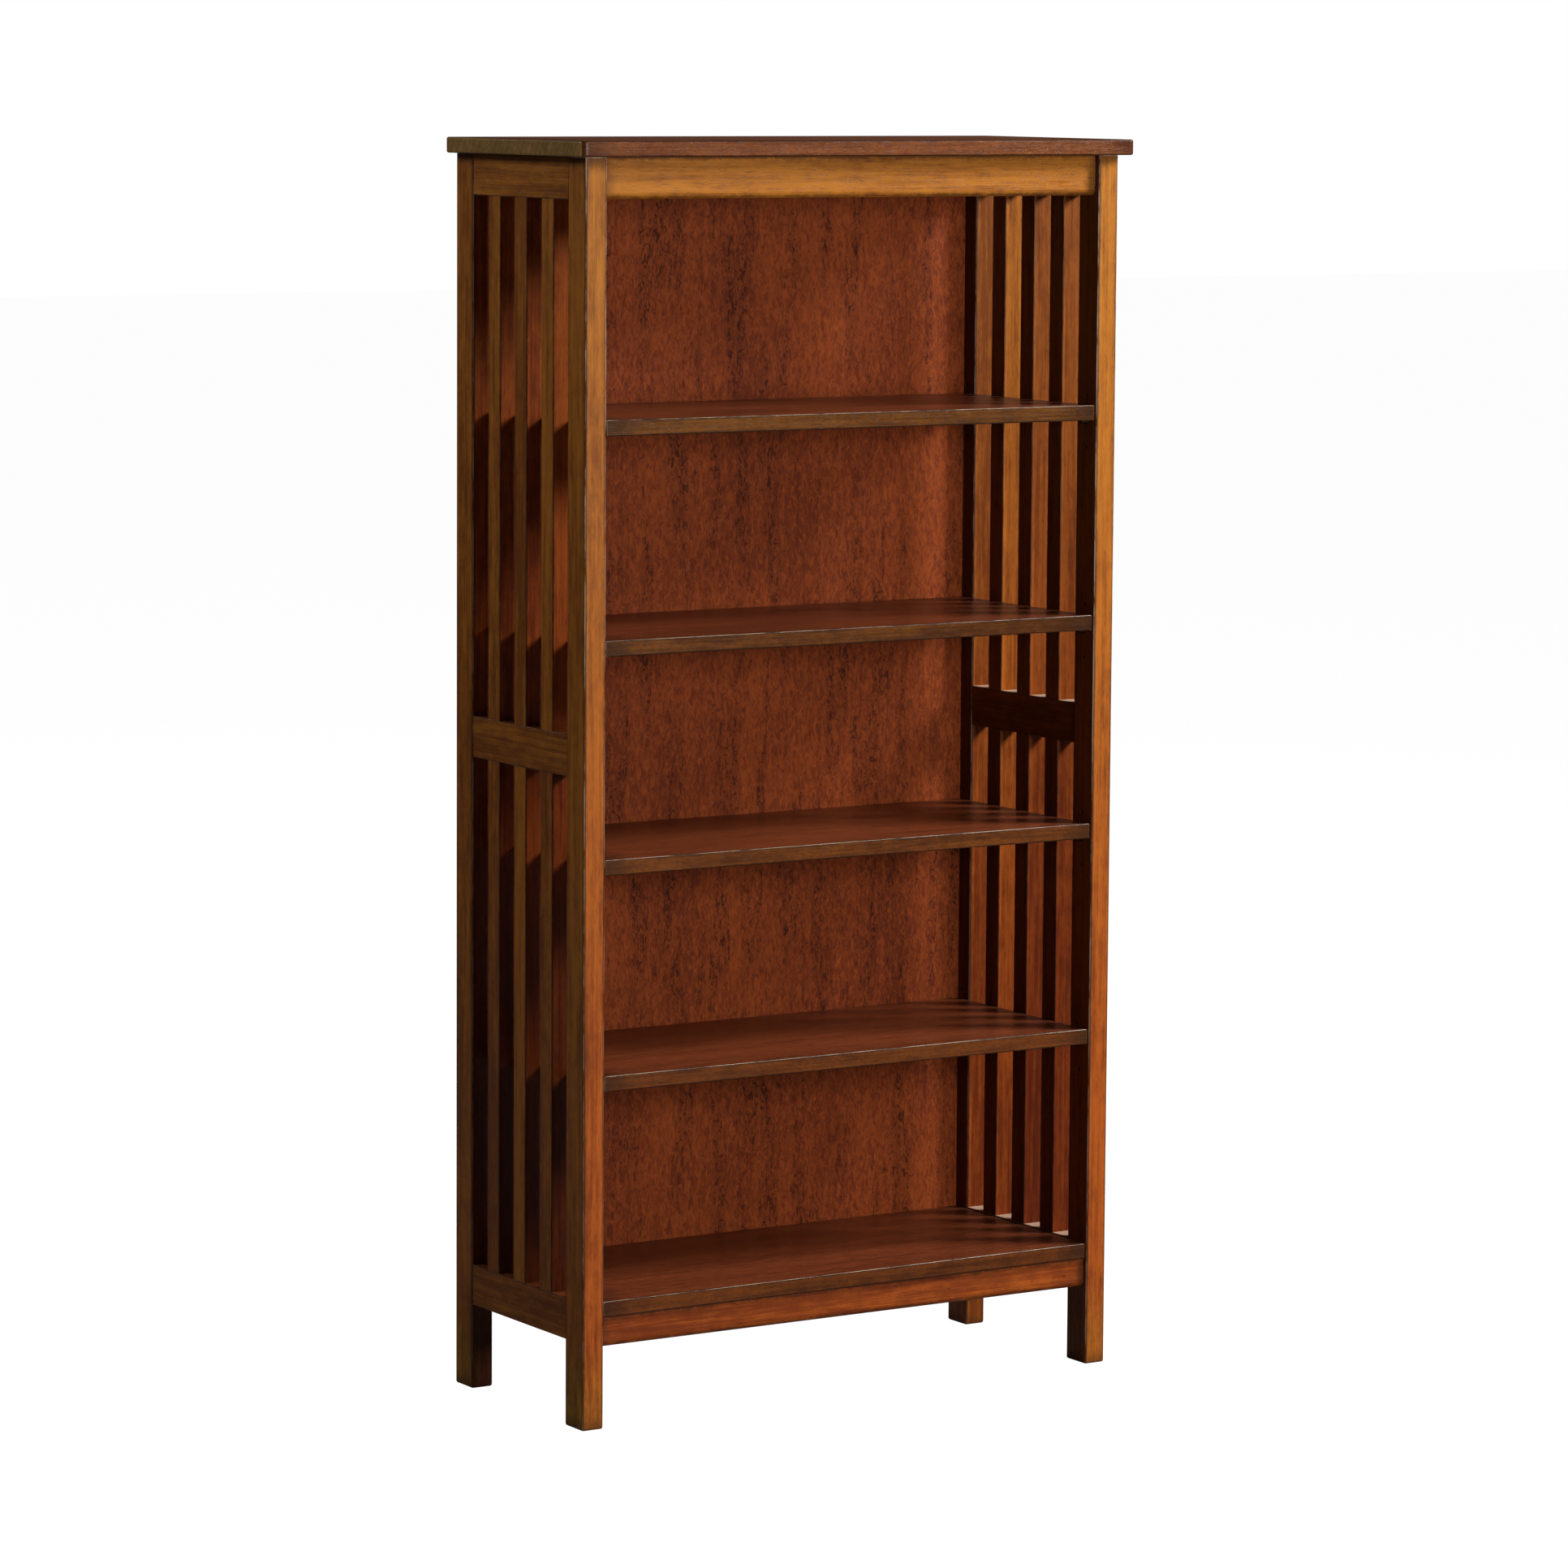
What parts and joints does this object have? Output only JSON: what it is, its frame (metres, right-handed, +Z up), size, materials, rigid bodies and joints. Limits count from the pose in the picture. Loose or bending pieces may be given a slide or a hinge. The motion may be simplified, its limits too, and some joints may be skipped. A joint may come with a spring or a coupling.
{
  "type": "slatted bookcase",
  "caption": "Freestanding slat-sided wooden bookcase on square posts with a panelled back, a fixed bottom shelf and shelves that rest on movable pins.",
  "frame": {"origin": "on the floor, under the middle of the top board", "axes": "+Z up, +X to the right as seen from the front, -Y to the open front"},
  "size_m": [0.783, 0.33, 1.524],
  "materials": {
    "top_board": "semi-gloss stained oak",
    "back_panel": "stained oak veneer",
    "posts": "semi-gloss stained oak",
    "side_rails": "semi-gloss stained oak",
    "slats": "semi-gloss stained oak",
    "cross_rails": "semi-gloss stained oak",
    "shelves": "semi-gloss stained oak with worn edges",
    "shelf_pins": "dark bronzed steel",
    "dowels": "plain beech",
    "screws": "zinc plated steel"
  },
  "bodies": {
    "case": {"top_board": "top_board", "back_panel": "back_panel", "post_front_left": "posts", "post_back_left": "posts", "side_top_rail_left": "side_rails", "side_mid_rail_left": "side_rails", "side_bottom_rail_left": "side_rails", "slat_left_upper_1": "slats", "slat_left_upper_2": "slats", "slat_left_upper_3": "slats", "slat_left_lower_1": "slats", "slat_left_lower_2": "slats", "slat_left_lower_3": "slats", "post_front_right": "posts", "post_back_right": "posts", "side_top_rail_right": "side_rails", "side_mid_rail_right": "side_rails", "side_bottom_rail_right": "side_rails", "slat_right_upper_1": "slats", "slat_right_upper_2": "slats", "slat_right_upper_3": "slats", "slat_right_lower_1": "slats", "slat_right_lower_2": "slats", "slat_right_lower_3": "slats", "front_top_rail": "cross_rails", "front_bottom_rail": "cross_rails", "back_top_rail": "cross_rails", "back_bottom_rail": "cross_rails", "shelf_pins_1": "shelf_pins", "shelf_pins_2": "shelf_pins", "shelf_pins_3": "shelf_pins", "shelf_pins_4": "shelf_pins", "bottom_shelf": "shelves", "rail_dowels": "dowels", "top_screws": "screws", "bottom_shelf_screws": "screws", "back_panel_screws": "screws"},
    "shelf_1": {"shelf_1": "shelves"},
    "shelf_2": {"shelf_2": "shelves"},
    "shelf_3": {"shelf_3": "shelves"},
    "shelf_4": {"shelf_4": "shelves"}
  },
  "joints": [
    {"name": "shelf_1_lift", "type": "slide", "parent": "case", "child": "shelf_1", "axis": [0, 0, 1], "range_m": [0, 0.2]},
    {"name": "shelf_2_lift", "type": "slide", "parent": "case", "child": "shelf_2", "axis": [0, 0, 1], "range_m": [0, 0.2]},
    {"name": "shelf_3_lift", "type": "slide", "parent": "case", "child": "shelf_3", "axis": [0, 0, 1], "range_m": [0, 0.2]},
    {"name": "shelf_4_lift", "type": "slide", "parent": "case", "child": "shelf_4", "axis": [0, 0, 1], "range_m": [0, 0.2]}
  ]
}
